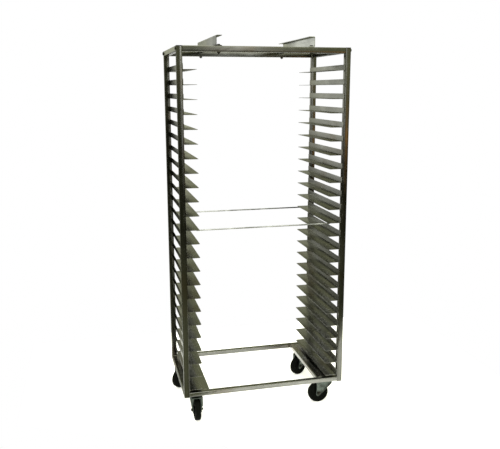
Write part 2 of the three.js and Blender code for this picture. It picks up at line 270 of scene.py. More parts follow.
def black_rubber(name, dust, roughness):
    """Matt black rubber with moulding grain, scuffs and a little dust."""
    rubber = Nodes(name, Metallic=0.0, Specular_IOR_Level=0.03)
    dusty = rubber.remap(rubber.noise(60.0, 5.0, distortion=0.4), 0.5, 0.78, 0.0, dust)
    scuffs = rubber.remap(rubber.noise(1.0, 3.0, (90.0, 90.0, 420.0), 4.0), 0.6, 0.72)
    body = rubber.ramp(rubber.noise(240.0, 3.0, offset=9.0), (0.3, (0.0016, 0.002, 0.0017)),
                       (0.7, (0.0045, 0.0052, 0.0045)))
    dulled = rubber.mix(rubber.math("MULTIPLY", scuffs, 0.35), body, (0.003, 0.0033, 0.003, 1.0))
    colour = rubber.mix(dusty, dulled, (0.01, 0.0102, 0.009, 1.0))
    rough = rubber.math("ADD", rubber.remap(dusty, 0.0, dust, roughness, roughness + 0.15),
                        rubber.math("MULTIPLY", scuffs, 0.1))
    grain = rubber.bump(rubber.noise(1500.0, 3.0), 0.00012, 0.7)
    return rubber.finish(colour, rough, rubber.bump(scuffs, 0.0002, 0.4, grain))


TUBE_DARK = (0.075, 0.0755, 0.069)
TUBE_LIGHT = (0.17, 0.171, 0.16)
SIDE_DARK = (0.06, 0.061, 0.056)
SIDE_LIGHT = (0.15, 0.152, 0.142)
SLIDE_DARK = (0.18, 0.181, 0.178)
SLIDE_LIGHT = (0.27, 0.272, 0.269)
BASE_DARK = (0.135, 0.136, 0.13)
BASE_LIGHT = (0.255, 0.256, 0.249)
# Bright and shaded tones for the two lift channels: one steel in lit and shaded copies, painted
# light on the right channel and painted shade on the left.
LIT_CHANNEL_DARK = (0.38, 0.388, 0.405)
BRIGHT_LIGHT = (0.64, 0.652, 0.675)
SHADED_CHANNEL_DARK = (0.105, 0.107, 0.114)
SHADED_CHANNEL_LIGHT = (0.185, 0.189, 0.2)
BROWN_STAIN = (0.12, 0.093, 0.06)
BAKED_STAIN = (0.26, 0.2, 0.155)

# The uprights, base channels and slides carry painted shade on their outer faces.
UPRIGHT_STEEL = {
    side: brushed_steel(f"{SIDE[side]}_upright_steel", "z", TUBE_DARK, TUBE_LIGHT, BROWN_STAIN,
                        0.13, painted_shade_face=(side, HALF_WIDTH, 0.5, 0.35))
    for side in SIGNS
}
TOP_RAIL_STEEL = brushed_steel("top_rail_steel", "x", TUBE_DARK, TUBE_LIGHT, BROWN_STAIN, 0.13)
SIDE_STEEL = brushed_steel("side_rail_steel", "y", SIDE_DARK, SIDE_LIGHT, BROWN_STAIN, 0.16)
BASE_RAIL_STEEL = brushed_steel("base_rail_steel", "x", BASE_DARK, BASE_LIGHT, BROWN_STAIN, 0.2)
BASE_STEEL = {
    side: brushed_steel(f"{SIDE[side]}_base_steel", "y", SLIDE_DARK, SLIDE_LIGHT, BAKED_STAIN,
                        0.2, painted_shade_face=(side, HALF_WIDTH, 0.6, 0.4))
    for side in SIGNS
}
ROD_STEEL = brushed_steel("rod_steel", "x", NEAR_BLACK, BRIGHT_LIGHT, TUBE_DARK, 0.2, 9.0)
SLIDE_STEEL = {
    side: brushed_steel(
        f"{SIDE[side]}_slide_steel", "y", SLIDE_DARK, SLIDE_LIGHT, BROWN_STAIN, 0.26, 7.0,
        painted_shade_face=(side, INNER_X, 0.98, 0.0))
    for side in SIGNS
}
# The two lift channels are one steel, painted lit on the right and painted shaded on the left.
LIT_AND_SHADED_CHANNEL_STEEL = {
    -1: brushed_steel("left_channel_steel_painted_shade", "y", SHADED_CHANNEL_DARK, SHADED_CHANNEL_LIGHT, TUBE_DARK, 0.22, 7.0),
    1: brushed_steel("right_channel_steel_painted_light", "y", LIT_CHANNEL_DARK, BRIGHT_LIGHT, SHADED_CHANNEL_DARK, 0.22, 7.0),
}
ZINC = zinc_plating()
BOLT_STEEL = dark_bolt_steel()
WELD = weld_metal()
FOOT_STEEL = brushed_steel("foot_steel", "z", NEAR_BLACK, TUBE_LIGHT, BROWN_STAIN, 0.35, 60.0)
TYRE_RUBBER = black_rubber("tyre_rubber", 0.2, 0.75)
HUB_RUBBER = black_rubber("hub_moulding", 0.1, 0.6)
CAP_PLASTIC = black_rubber("cap_plastic", 0.3, 0.45)

# ---- mesh helpers ------------------------------------------------------------------------


def add_loft(bm, loops, matrix=Matrix(), cyclic=False, caps=True):
    """Skins a row of closed loops, each with the same number of points."""
    rings = [[bm.verts.new(matrix @ Vector(point)) for point in loop] for loop in loops]
    following = rings[1:] + rings[:1] if cyclic else rings[1:]
    for ring, after in zip(rings, following):
        for i, vertex in enumerate(ring):
            j = (i + 1) % len(ring)
            bm.faces.new((vertex, ring[j], after[j], after[i]))
    if caps and not cyclic:
        bm.faces.new(rings[0][::-1])
        bm.faces.new(rings[-1])
    return rings


def add_lathe(bm, profile, steps, matrix=Matrix(), cyclic=False):
    """Turns a profile of (radius, height) points about the Z axis."""
    turns = [2 * math.pi * i / steps for i in range(steps)]
    loops = [[(r * math.cos(t), r * math.sin(t), h) for t in turns] for r, h in profile]
    add_loft(bm, loops, matrix, cyclic)


def rounded_corners(points, radii, steps=5):
    """A closed outline with an arc in place of each corner."""
    outline = []
    for i, corner in enumerate(points):
        corner, radius = Vector(corner), radii[i % len(radii)]
        to_before = (Vector(points[i - 1]) - corner).normalized()
        to_after = (Vector(points[(i + 1) % len(points)]) - corner).normalized()
        half = to_before.angle(to_after) / 2
        centre = corner + (to_before + to_after).normalized() * radius / math.sin(half)
        start = corner + to_before * radius / math.tan(half) - centre
        end = corner + to_after * radius / math.tan(half) - centre
        sweep = math.atan2(start.x * end.y - start.y * end.x, start.dot(end))
        for k in range(steps + 1):
            turn = Matrix.Rotation(sweep * k / steps, 2)
            outline.append(centre + turn @ start)
    return outline


def rectangle(half_a, half_b, radius, steps=5):
    corners = [(-half_a, -half_b), (half_a, -half_b), (half_a, half_b), (-half_a, half_b)]
    return rounded_corners(corners, [radius], steps)


def inset(outline, distance):
    """A convex anticlockwise outline, moved inwards."""
    moved = []
    for i, point in enumerate(outline):
        before = (point - outline[i - 1]).normalized()
        after = (outline[(i + 1) % len(outline)] - point).normalized()
        normal = Vector((-(before.y + after.y), before.x + after.x)).normalized()
        slant = max(0.3, normal.dot(Vector((-after.y, after.x))))
        moved.append(point + normal * distance / slant)
    return moved


def bend_line(points, radius, steps=5):
    """An open line with an arc in place of each inner corner."""
    line = [Vector(points[0])]
    for i in range(1, len(points) - 1):
        trio = [points[i - 1], points[i], points[i + 1]]
        line += rounded_corners(trio, [radius], steps)[steps + 1:2 * steps + 2]
    return [*line, Vector(points[-1])]


AXES = {
    "x": Matrix(((0, 0, 1, 0), (1, 0, 0, 0), (0, 1, 0, 0), (0, 0, 0, 1))),
    "y": Matrix(((1, 0, 0, 0), (0, 0, 1, 0), (0, 1, 0, 0), (0, 0, 0, 1))),
    "z": Matrix(),
}


def bevel_sharp(bm, width, segments=2, angle=40.0):
    bmesh.ops.recalc_face_normals(bm, faces=bm.faces)
    sharp = [e for e in bm.edges if e.is_manifold and e.calc_face_angle() > math.radians(angle)]
    bmesh.ops.bevel(bm, geom=sharp, offset=width, segments=segments, affect="EDGES",
                    profile=0.6, clamp_overlap=True)


def add_tube(bm, axis, start, end, half_a, half_b, centre, wall=TUBE_WALL):
    """A hollow tube of rounded rectangular section, with eased ends.

    Its section's sides run along the other two axes in x, y, z order."""
    outer = rectangle(half_a, half_b, TUBE_RADIUS)
    eased = rectangle(half_a - 0.4, half_b - 0.4, TUBE_RADIUS - 0.4)
    inner = rectangle(half_a - wall, half_b - wall, TUBE_RADIUS - wall)
    place = Matrix.Translation(centre) @ AXES[axis]
    stations = [(eased, start), (outer, start + 0.4), (outer, end - 0.4), (eased, end),
                (inner, end), (inner, start)]
    loops = [[(p.x, p.y, s) for p in outline] for outline, s in stations]
    add_loft(bm, loops, place, cyclic=True)


def add_slab(bm, outline, low, high, ease, matrix=Matrix()):
    """A plate of any convex outline with rounded upper and lower edges."""
    turns = [(ease * (1 - math.sin(a)), ease * (1 - math.cos(a)))
             for a in (0, math.pi / 6, math.pi / 3, math.pi / 2)]
    lower = [(inset(outline, i), low + up) for i, up in turns]
    upper = [(edge, low + high - z) for edge, z in reversed(lower)]
    add_loft(bm, [[(p.x, p.y, z) for p in edge] for edge, z in lower + upper], matrix)


def add_sheet(bm, path, thickness, radius, start, end):
    """Sheet metal bent along a path in the XZ plane and running along Y.

    The path is the middle of the sheet. Its edges are left sharp, for the caller to ease."""
    line = bend_line(path, radius)
    outer, inner = [], []
    for i, point in enumerate(line):
        before = point - line[max(i - 1, 0)]
        after = line[min(i + 1, len(line) - 1)] - point
        if i == 0:
            before = after
        if i == len(line) - 1:
            after = before
        run = before.normalized() + after.normalized()
        normal = Vector((-run.y, run.x)).normalized() * thickness / 2
        outer.append(point + normal)
        inner.append(point - normal)
    loop = outer + inner[::-1]
    rings = add_loft(bm, [[(p.x, s, p.y) for p in loop] for s in (start, end)], caps=False)
    last = len(loop) - 1
    for ring in rings:
        for i in range(len(line) - 1):
            bm.faces.new((ring[i], ring[i + 1], ring[last - i - 1], ring[last - i]))


def hexagon_radius(turn, corner):
    """How far a hexagon's edge is from its middle in one direction."""
    side = math.pi / 3
    return corner * math.cos(side / 2) / math.cos((turn % side) - side / 2)


def add_hex(bm, corner, height, matrix, bore=0.0):
    """A hexagon head or nut, standing on z = 0, with the turned chamfer of a real one."""
    steps = 36
    turns = [2 * math.pi * i / steps for i in range(steps)]
    crown = corner * math.cos(math.pi / 6) * 0.96
    slope = math.tan(math.radians(30))
    radii = [hexagon_radius(t, corner) for t in turns]
    top = [height - (r - crown) * slope for r in radii]
    loops = [
        [(r * math.cos(t), r * math.sin(t), 0.0) for r, t in zip(radii, turns)],
        [(r * math.cos(t), r * math.sin(t), z) for r, t, z in zip(radii, turns, top)],
        [(crown * math.cos(t), crown * math.sin(t), height) for t in turns],
    ]
    if bore:
        loops += [[(bore * math.cos(t), bore * math.sin(t), z) for t in turns]
                  for z in (height, 0.0)]
    add_loft(bm, loops, matrix, cyclic=bool(bore))


def add_washer(bm, bore, rim, height, matrix):
    profile = [(bore, 0.0), (rim - 0.3, 0.0), (rim, 0.3), (rim, height - 0.3),
               (rim - 0.3, height), (bore, height)]
    add_lathe(bm, profile, 36, matrix, cyclic=True)


def add_thread(bm, radius, start, end, matrix, pitch=1.25):
    """The end of a bolt, with its thread as rings and a chamfered tip."""
    profile = [(0.0, start), (radius - 0.35, start)]
    turns = int((end - start - 1.0) / pitch)
    for k in range(turns):
        low = start + k * pitch
        profile += [(radius - 0.35, low), (radius, low + pitch / 2)]
    profile += [(radius - 0.35, start + turns * pitch), (radius - 0.9, end), (0.0, end)]
    add_lathe(bm, profile, 24, matrix)


def add_bead(bm, start, end, radius, pitch=2.4):
    """A weld bead between two points, rippled and pinched at both ends."""
    start, end = Vector(start), Vector(end)
    run = end - start
    steps = max(6, int(run.length / pitch * 3))
    turn = run.to_track_quat("Z", "Y").to_matrix().to_4x4()
    sides = [2 * math.pi * i / 8 for i in range(8)]
    loops = []
    for k in range(steps + 1):
        share = k / steps
        ends = math.sqrt(max(0.0, 1 - abs(2 * share - 1) ** 6))
        swell = radius * (0.25 + 0.75 * ends) * (1 + 0.14 * math.sin(2 * math.pi * k / 3))
        at = share * run.length
        loops.append([(swell * math.cos(a), swell * math.sin(a), at) for a in sides])
    add_loft(bm, loops, Matrix.Translation(start) @ turn)


def piece(name, bm, material, body, stands_for=(), place=PLACE, sharp=32.0):
    """Makes one piece of the object from its mesh, on its body and with its material."""
    bmesh.ops.remove_doubles(bm, verts=bm.verts, dist=0.0005)
    bmesh.ops.recalc_face_normals(bm, faces=bm.faces)
    mesh = bpy.data.meshes.new(name)
    bm.to_mesh(mesh)
    bm.free()
    mesh.transform(place)
    mesh.polygons.foreach_set("use_smooth", [True] * len(mesh.polygons))
    mesh.set_sharp_from_angle(angle=math.radians(sharp))
    mesh.materials.append(material)
    made = bpy.data.objects.new(name, mesh)
    bpy.context.scene.collection.objects.link(made)
    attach(made, body)
    if stands_for:
        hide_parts(*stands_for)


def frame_piece(name, bm, material):
    piece(name, bm, material, "rack", ["welded_frame"])


# ---- welded frame ------------------------------------------------------------------------

CAP_HEIGHT = 2.4
CAP_DEPTH = 14.0
PLUG_DROP = 5.0
PLUG_DEPTH = 6.0
PLUG_INSET = 1.0
PLUG_VENT = 3.0


def add_foot_plug(bm, place):
    """A domed plug in an upright's lower end, with a hole that lets hot air out."""
    low, seat, high = BASE_UNDERSIDE - PLUG_DROP, BASE_UNDERSIDE, BASE_UNDERSIDE + PLUG_DEPTH
    outline = rectangle(TUBE / 2 - PLUG_INSET, TUBE / 2 - PLUG_INSET, 2.4, 11)
    turns = [math.atan2(p.y, p.x) for p in outline]
    stations = [(0.0, seat - 0.2), (0.25, seat - 1.6), (1.2, seat - 3.4), (3.0, low + 0.3),
                (4.6, low)]
    loops = [[(p.x, p.y, z) for p in inset(outline, i)] for i, z in stations]
    loops += [[(PLUG_VENT * math.cos(t), PLUG_VENT * math.sin(t), z) for t in turns]
              for z in (low, high)]
    throat = inset(outline, 0.6)
    loops += [[(p.x, p.y, z) for p in throat] for z in (high, seat - 0.2)]
    add_loft(bm, loops, place, cyclic=True)


def build_uprights():
    for sx in SIGNS:
        for sy in SIGNS:
            corner = f"{END[sy]}_{SIDE[sx]}"
            centre = (sx * (HALF_WIDTH - TUBE / 2), sy * TUBE_MIDDLE_Y, 0)
            bm = bmesh.new()
            add_tube(bm, "z", BASE_UNDERSIDE, FRAME_TOP - CAP_HEIGHT, TUBE / 2, TUBE / 2, centre)
            frame_piece(f"upright_{corner}", bm, UPRIGHT_STEEL[sx])
            bm = bmesh.new()
            outline = rectangle(TUBE / 2, TUBE / 2, TUBE_RADIUS)
            place = Matrix.Translation(centre)
            add_slab(bm, outline, FRAME_TOP - CAP_HEIGHT, FRAME_TOP, 0.9, place)
            throat = rectangle(TUBE / 2 - TUBE_WALL - 0.1, TUBE / 2 - TUBE_WALL - 0.1, 1.0)
            add_slab(bm, throat, FRAME_TOP - CAP_DEPTH, FRAME_TOP - CAP_HEIGHT, 0.6, place)
            frame_piece(f"end_cap_{corner}", bm, CAP_PLASTIC)
            bm = bmesh.new()
            add_foot_plug(bm, place)
            frame_piece(f"foot_plug_{corner}", bm, FOOT_STEEL)


def build_welded_rails():
    for sx in SIGNS:
        bm = bmesh.new()
        centre = (sx * (HALF_WIDTH - TUBE / 2), 0, FRAME_TOP - TOP_RAIL_HEIGHT / 2)
        add_tube(bm, "y", -INNER_Y, INNER_Y, TUBE / 2, TOP_RAIL_HEIGHT / 2, centre)
        frame_piece(f"top_side_rail_{SIDE[sx]}", bm, SIDE_STEEL)
    for sy in SIGNS:
        bm = bmesh.new()
        centre = (0, sy * TUBE_MIDDLE_Y, BASE_UNDERSIDE + BASE_RAIL_HEIGHT / 2)
        add_tube(bm, "x", -INNER_X, INNER_X, TUBE / 2, BASE_RAIL_HEIGHT / 2, centre)
        frame_piece(f"base_rail_{END[sy]}", bm, BASE_RAIL_STEEL)


BASE_CHANNEL_WIDTH = 124.0
BASE_CHANNEL_SHEET = 2.5
CASTER_PAD_SHEET = 3.0
CASTER_PAD_LENGTH = 112.0


def build_base_channels():
    half = BASE_CHANNEL_SHEET / 2
    for sx in SIGNS:
        outer = sx * (HALF_WIDTH - half)
        inner = sx * (HALF_WIDTH - BASE_CHANNEL_WIDTH + half)
        path = [(outer, BASE_UNDERSIDE), (outer, BASE_TOP - half), (inner, BASE_TOP - half),
                (inner, BASE_UNDERSIDE)]
        bm = bmesh.new()
        add_sheet(bm, path, BASE_CHANNEL_SHEET, 3.0, -INNER_Y, INNER_Y)
        bevel_sharp(bm, 0.4)
        frame_piece(f"base_channel_{SIDE[sx]}", bm, BASE_STEEL[sx])
        bm = bmesh.new()
        clear = BASE_CHANNEL_SHEET + 0.1
        for sy in SIGNS:
            along_y = sy * (INNER_Y - CASTER_PAD_LENGTH / 2)
            across = (outer + inner) / 2
            outline = rectangle(abs(outer - inner) / 2 + half - clear, CASTER_PAD_LENGTH / 2, 1.5)
            add_slab(bm, outline, BASE_UNDERSIDE, BASE_UNDERSIDE + CASTER_PAD_SHEET, 0.4,
                     Matrix.Translation((across, along_y, 0)))
        frame_piece(f"caster_pads_{SIDE[sx]}", bm, BASE_STEEL[sx])


def build_frame_welds():
    """The beads where rails and channels meet the uprights and each other."""
    bm = bmesh.new()
    for sx in SIGNS:
        for sy in SIGNS:
            x, y = sx * INNER_X, sy * INNER_Y
            top, outer_x, outer_y = RAIL_UNDERSIDE, sx * HALF_WIDTH, sy * HALF_DEPTH
            add_bead(bm, (x, y, RAIL_UNDERSIDE + 3), (x, y, FRAME_TOP - 3), 1.5)
            add_bead(bm, (x + sx * 3, y, top), (outer_x - sx * 3, y, top), 1.3)
            add_bead(bm, (x, y + sy * 3, BASE_TOP), (x, outer_y - sy * 3, BASE_TOP), 1.4)
            add_bead(bm, (x, y + sy * 3, BASE_UNDERSIDE + 0.4),
                     (x, outer_y - sy * 3, BASE_UNDERSIDE + 0.4), 1.2)
            add_bead(bm, (x + sx * 3, y, BASE_TOP), (outer_x - sx * 3, y, BASE_TOP), 1.4)
            inner = sx * (HALF_WIDTH - BASE_CHANNEL_WIDTH)
            add_bead(bm, (inner, y, BASE_UNDERSIDE + 3), (inner, y, BASE_TOP - 3), 1.4)
            for k in range(3):
                start = inner + sx * (12 + 36 * k)
                add_bead(bm, (start, y, BASE_TOP - 0.3), (start + sx * 18, y, BASE_TOP - 0.3), 1.3)
    frame_piece("frame_welds", bm, WELD)


# ---- slides and tie rods -----------------------------------------------------------------

SLIDE_SHEET = 1.5
SLIDE_TIP_RADIUS = 3.0
TIE_ROD_RADIUS = 3.2
TIE_ROD_REACH = 316.0
TIE_ROD_INSET = 20.0


def slide_mesh(side, lo, hi):
    """One angle: its flange stands outermost, and its ledge reaches inwards."""
    half = SLIDE_SHEET / 2
    outer, tip = (hi.x, lo.x) if side > 0 else (lo.x, hi.x)
    path = [(outer - side * half, hi.z), (outer - side * half, lo.z + half), (tip, lo.z + half)]
    bm = bmesh.new()
    add_sheet(bm, path, SLIDE_SHEET, 1.9, lo.y, hi.y)
    tips = [e for e in bm.edges
            if all(abs(v.co.x - tip) < 0.01 for v in e.verts)
            and abs(e.verts[0].co.y - e.verts[1].co.y) < 0.01]
    bmesh.ops.bevel(bm, geom=tips, offset=SLIDE_TIP_RADIUS, segments=4, affect="EDGES")
    bevel_sharp(bm, 0.3)
    return bm


def build_slides():
    tied_lo, tied_hi = span(f"tied_slides_{TIED}")
    loose_lo, loose_hi = span("right_slide_01")
    tied_lift = tied_hi.z - loose_hi.z
    for number in SLIDE_NUMBERS:
        for side in SIGNS:
            if number == TIED:
                lo, hi = span(f"{SIDE[side]}_slide_01")
                lo.z, hi.z = lo.z + tied_lift, hi.z + tied_lift
                node = f"tied_slides_{TIED}"
            else:
                node = f"{SIDE[side]}_slide_{number}"
                lo, hi = span(node)
            piece(f"{SIDE[side]}_slide_{number}_angle", slide_mesh(side, lo, hi),
                  SLIDE_STEEL[side], "rack", [node])
    for side in SIGNS:
        build_slide_welds(side)
    build_tie_rods(tied_lo, loose_lo.z + tied_lift)


def build_slide_welds(side):
    """Short beads that hold each slide's flange to both uprights."""
    bm = bmesh.new()
    for number in SLIDE_NUMBERS:
        node = f"tied_slides_{TIED}" if number == TIED else f"{SIDE[side]}_slide_{number}"
        top = span(node)[1].z
        for sy in SIGNS:
            near, far = sy * (INNER_Y + 5), sy * (HALF_DEPTH - 6)
            add_bead(bm, (side * INNER_X, near, top), (side * INNER_X, far, top), 1.3)
    piece(f"{SIDE[side]}_slide_welds", bm, WELD, "rack")


def build_tie_rods(lo, underside):
    radius, reach = TIE_ROD_RADIUS, TIE_ROD_REACH
    centre_z = lo.z + radius
    for sy in SIGNS:
        y = sy * (HALF_DEPTH - TIE_ROD_INSET)
        bm = bmesh.new()
        profile = [(0, -reach), (radius - 0.6, -reach), (radius, -reach + 0.6),
                   (radius, reach - 0.6), (radius - 0.6, reach), (0, reach)]
        turned = Matrix.Translation((0, y, centre_z)) @ AXES["x"]
        add_lathe(bm, profile, 24, turned)
        piece(f"tie_rod_{END[sy]}", bm, ROD_STEEL, "rack",
              [f"tied_slides_{TIED}"])
    bm = bmesh.new()
    for sx in SIGNS:
        for sy in SIGNS:
            for off in SIGNS:
                y = sy * (HALF_DEPTH - TIE_ROD_INSET) + off * 2.6
                near, far = sx * (reach - 10), sx * (reach - 1)
                add_bead(bm, (near, y, underside), (far, y, underside), 1.3)
    piece("tie_rod_welds", bm, WELD, "rack")


# ---- top rails, lift channels and their bolts --------------------------------------------

BOLT_HEX = 7.2
BOLT_HEAD = 5.0
BOLT_RADIUS = 4.0
BOLT_END = 8.0
WASHER_RIM = 8.6
WASHER_BORE = 4.2
CORNER_WASHER = 1.2
LIFT_WASHER = 1.4
LIFT_CHANNEL_SHEET = 2.5


def flipped(point):
    """Looking down from a point, for a bolt that hangs from it."""
    return Matrix.Translation(point) @ Matrix.Rotation(math.pi, 4, "X")


def build_top_rails():
    for sy in SIGNS:
        node = f"top_{END[sy]}_rail"
        bm = bmesh.new()
        height = TOP_RAIL_HEIGHT if sy > 0 else TUBE
        centre = (0, sy * TUBE_MIDDLE_Y, FRAME_TOP - height / 2)
        add_tube(bm, "x", -INNER_X + SEAM, INNER_X - SEAM, TUBE / 2, height / 2, centre)
        piece(f"{node}_tube", bm, TOP_RAIL_STEEL, "rack", [node])
        bm = bmesh.new()
        for sx in SIGNS:
            under = flipped((sx * LIFT_BOLT_X, sy * TUBE_MIDDLE_Y, FRAME_TOP - height))
            add_hex(bm, BOLT_HEX, BOLT_HEAD, under)
            add_thread(bm, BOLT_RADIUS, BOLT_HEAD, BOLT_END, under)
        piece(f"{node}_nuts", bm, BOLT_STEEL, "rack", [node])


def build_corner_bolts():
    """The bolts that hold the top cross rails between the uprights."""
    for sx in SIGNS:
        bm = bmesh.new()
        for sy in SIGNS:
            at = (sx * HALF_WIDTH, sy * TUBE_MIDDLE_Y, FRAME_TOP - TOP_RAIL_HEIGHT / 2)
            place = Matrix.Translation(at) @ Matrix.Rotation(sx * math.pi / 2, 4, "Y")
            add_washer(bm, WASHER_BORE, WASHER_RIM, CORNER_WASHER, place)
            on_washer = place @ Matrix.Translation((0, 0, CORNER_WASHER))
            add_hex(bm, BOLT_HEX, BOLT_HEAD - CORNER_WASHER, on_washer)
        frame_piece(f"corner_bolts_{SIDE[sx]}", bm, BOLT_STEEL)


def build_lift_channels():
    for side in SIGNS:
        node = f"{SIDE[side]}_lift_channel"
        lo, hi = span(node)
        sheet = LIFT_CHANNEL_SHEET
        web, lips = (hi.x, lo.x) if side > 0 else (lo.x, hi.x)
        web -= side * sheet / 2
        path = [(lips, lo.z + sheet / 2), (web, lo.z + sheet / 2), (web, hi.z - sheet / 2),
                (lips, hi.z - sheet / 2)]
        bm = bmesh.new()
        add_sheet(bm, path, sheet, 3.2, lo.y, hi.y)
        bevel_sharp(bm, 0.5)
        piece(f"{node}_sheet", bm, LIT_AND_SHADED_CHANNEL_STEEL[side], "rack", [node])
        bm = bmesh.new()
        for sy in SIGNS:
            seat = Matrix.Translation((side * LIFT_BOLT_X, sy * TUBE_MIDDLE_Y, lo.z + sheet))
            add_washer(bm, WASHER_BORE, WASHER_RIM, LIFT_WASHER, seat)
            on_washer = seat @ Matrix.Translation((0, 0, LIFT_WASHER))
            add_hex(bm, BOLT_HEX, BOLT_HEAD - LIFT_WASHER, on_washer)
        piece(f"{node}_bolts", bm, BOLT_STEEL, "rack", [node])


# ---- casters -----------------------------------------------------------------------------

TRAIL = 38.0
AXLE_HEIGHT = 51.0
LEG_INNER = 16.0
LEG_SHEET = 3.0
LEG_BACK = -26.0
LEG_SHOULDER = 101.0
LEG_FRONT = 52.0
LEG_FOOT = Vector((43.0, 44.5))
LEG_FOOT_RADIUS = 9.0
RIM_HEIGHT = 8.5
RIM_FOOT = 2.5
RIM_SHEET = 2.6
RIM_START = 62.0
RIM_FULL = 75.0
CROWN_UNDERSIDE = 110.0
CROWN_TOP = 115.0
PLATE_UNDERSIDE = 127.0
RACEWAY_RADIUS = 27.0
AXLE_RADIUS = 4.75
AXLE_END = 29.0
AXLE_NUT_END = 25.5
AXLE_HEX = 8.0
AXLE_WASHER = 1.2
AXLE_WASHER_RIM = 9.2
WHEEL_RADIUS = 51.0
TYRE_HALF_WIDTH = 13.0
TYRE_BORE = 37.0
HUB_HALF_WIDTH = 15.5
RIBS = 10
PLATE_HALF_LENGTH = 30.0
PLATE_HALF_WIDTH = 46.0
PLATE_BOLT_X = 22.0
PLATE_BOLT_Y = 37.5
PLATE_BOLT_HEX = 6.6
PLATE_BOLT_HEAD = 3.8
PLATE_WASHER = 1.1
PLATE_WASHER_RIM = 8.0


def leg_outline():
    """A leg's edge, seen from the side and anticlockwise from the top at the back."""
    start, steps = -0.75 * math.pi, 14
    foot = [
        LEG_FOOT + LEG_FOOT_RADIUS * Vector((math.cos(a), math.sin(a)))
        for a in (start * (1 - k / steps) for k in range(steps + 1))
    ]
    top = CROWN_UNDERSIDE + 2.5
    shoulder = [(LEG_BACK, top), (LEG_BACK, LEG_SHOULDER), foot[0]]
    back_corner = rounded_corners(shoulder, [8.0], 6)[7:14]
    heights = [LEG_FOOT.y + (top - LEG_FOOT.y) * k / 9 for k in range(1, 10)]
    return [Vector((LEG_BACK, top)), *back_corner, *foot,
            *(Vector((LEG_FRONT, z)) for z in heights)]


def rim_height(z):
    """How far a leg's rim stands out at a height, low at the axle and full above."""
    share = min(1.0, max(0.0, (z - RIM_START) / (RIM_FULL - RIM_START)))
    return RIM_FOOT + (RIM_HEIGHT - RIM_FOOT) * share * share * (3 - 2 * share)


def add_leg(bm, side):
    """A stamped leg whose edges are turned outwards into a rim, lower at the axle."""
    outline = leg_outline()
    face = LEG_INNER + LEG_SHEET
    steps = [
        (1.2, LEG_INNER, False), (0.35, LEG_INNER + 0.35, False), (0.0, LEG_INNER + 1.2, False),
        (0.0, face - 0.8, True), (0.3, face - 0.25, True), (RIM_SHEET / 2, face, True),
        (RIM_SHEET - 0.3, face - 0.25, True), (RIM_SHEET, face - 0.8, True),
        (RIM_SHEET + 0.1, face + 1.4, False), (RIM_SHEET + 0.8, face + 0.5, False),
        (RIM_SHEET + 2.0, face, False),
    ]
    loops = []
    for distance, y, on_rim in steps:
        edge = inset(outline, distance)
        loops.append([
            (p.x, side * (y + (rim_height(o.y) if on_rim else 0.0)), p.y)
            for p, o in zip(edge, outline)
        ])
    add_loft(bm, loops)


def add_axle(bm):
    """The axle, with a washer, a nut and a threaded end on each side."""
    seat = LEG_INNER + LEG_SHEET
    for turn in (-math.pi / 2, math.pi / 2):
        side = Matrix.Translation((TRAIL, 0, AXLE_HEIGHT)) @ Matrix.Rotation(turn, 4, "X")
        washer = AXLE_WASHER
        nut = side @ Matrix.Translation((0, 0, seat + washer))
        add_lathe(bm, [(0, 0), (AXLE_RADIUS, 0), (AXLE_RADIUS, seat + 2), (0, seat + 2)], 32, side)
        add_washer(bm, AXLE_RADIUS, AXLE_WASHER_RIM, washer, side @ Matrix.Translation((0, 0, seat)))
        add_hex(bm, AXLE_HEX, AXLE_NUT_END - seat - washer, nut, bore=AXLE_RADIUS - 0.4)
        add_thread(bm, AXLE_RADIUS, seat + washer, AXLE_END, side)


def build_fork(body, node, place, name):
    bm = bmesh.new()
    for side in SIGNS:
        add_leg(bm, side)
    half = LEG_INNER + LEG_SHEET + RIM_HEIGHT
    corners = [(LEG_BACK, -half), (LEG_FRONT, -half), (LEG_FRONT, half), (LEG_BACK, half)]
    crown = rounded_corners(corners, [12.0, 4.0, 4.0, 12.0], 6)
    add_slab(bm, crown, CROWN_UNDERSIDE, CROWN_TOP, 1.4)
    piece(f"fork_stamping_{name}", bm, ZINC, body, [node], place, 28.0)

    bm = bmesh.new()
    rim, top = RACEWAY_RADIUS, PLATE_UNDERSIDE - SEAM
    profile = [
        (0, CROWN_TOP - 0.5), (rim - 5, CROWN_TOP - 0.5), (rim - 4, CROWN_TOP + 1.2),
        (rim - 1.2, CROWN_TOP + 2.0), (rim - 0.3, CROWN_TOP + 3.0), (rim, CROWN_TOP + 4.4),
        (rim - 0.2, CROWN_TOP + 5.4), (rim - 1.8, CROWN_TOP + 5.8), (rim - 1.8, CROWN_TOP + 6.6),
        (rim - 0.3, CROWN_TOP + 7.0), (rim, top - 2.2), (rim - 0.6, top - 0.7), (rim - 2.4, top),
        (0, top),
    ]
    add_lathe(bm, profile, 64)
    rivet = [(0, CROWN_UNDERSIDE + 0.5), (9.5, CROWN_UNDERSIDE + 0.5), (9.2, CROWN_UNDERSIDE - 1.6),
             (7.6, CROWN_UNDERSIDE - 3.6), (4.4, CROWN_UNDERSIDE - 4.8),
             (0, CROWN_UNDERSIDE - 5.2)]
    add_lathe(bm, rivet, 40)
    piece(f"swivel_raceway_{name}", bm, ZINC, body, [node], place)

    bm = bmesh.new()
    add_axle(bm)
    piece(f"axle_bolt_{name}", bm, BOLT_STEEL, body, [node], place)


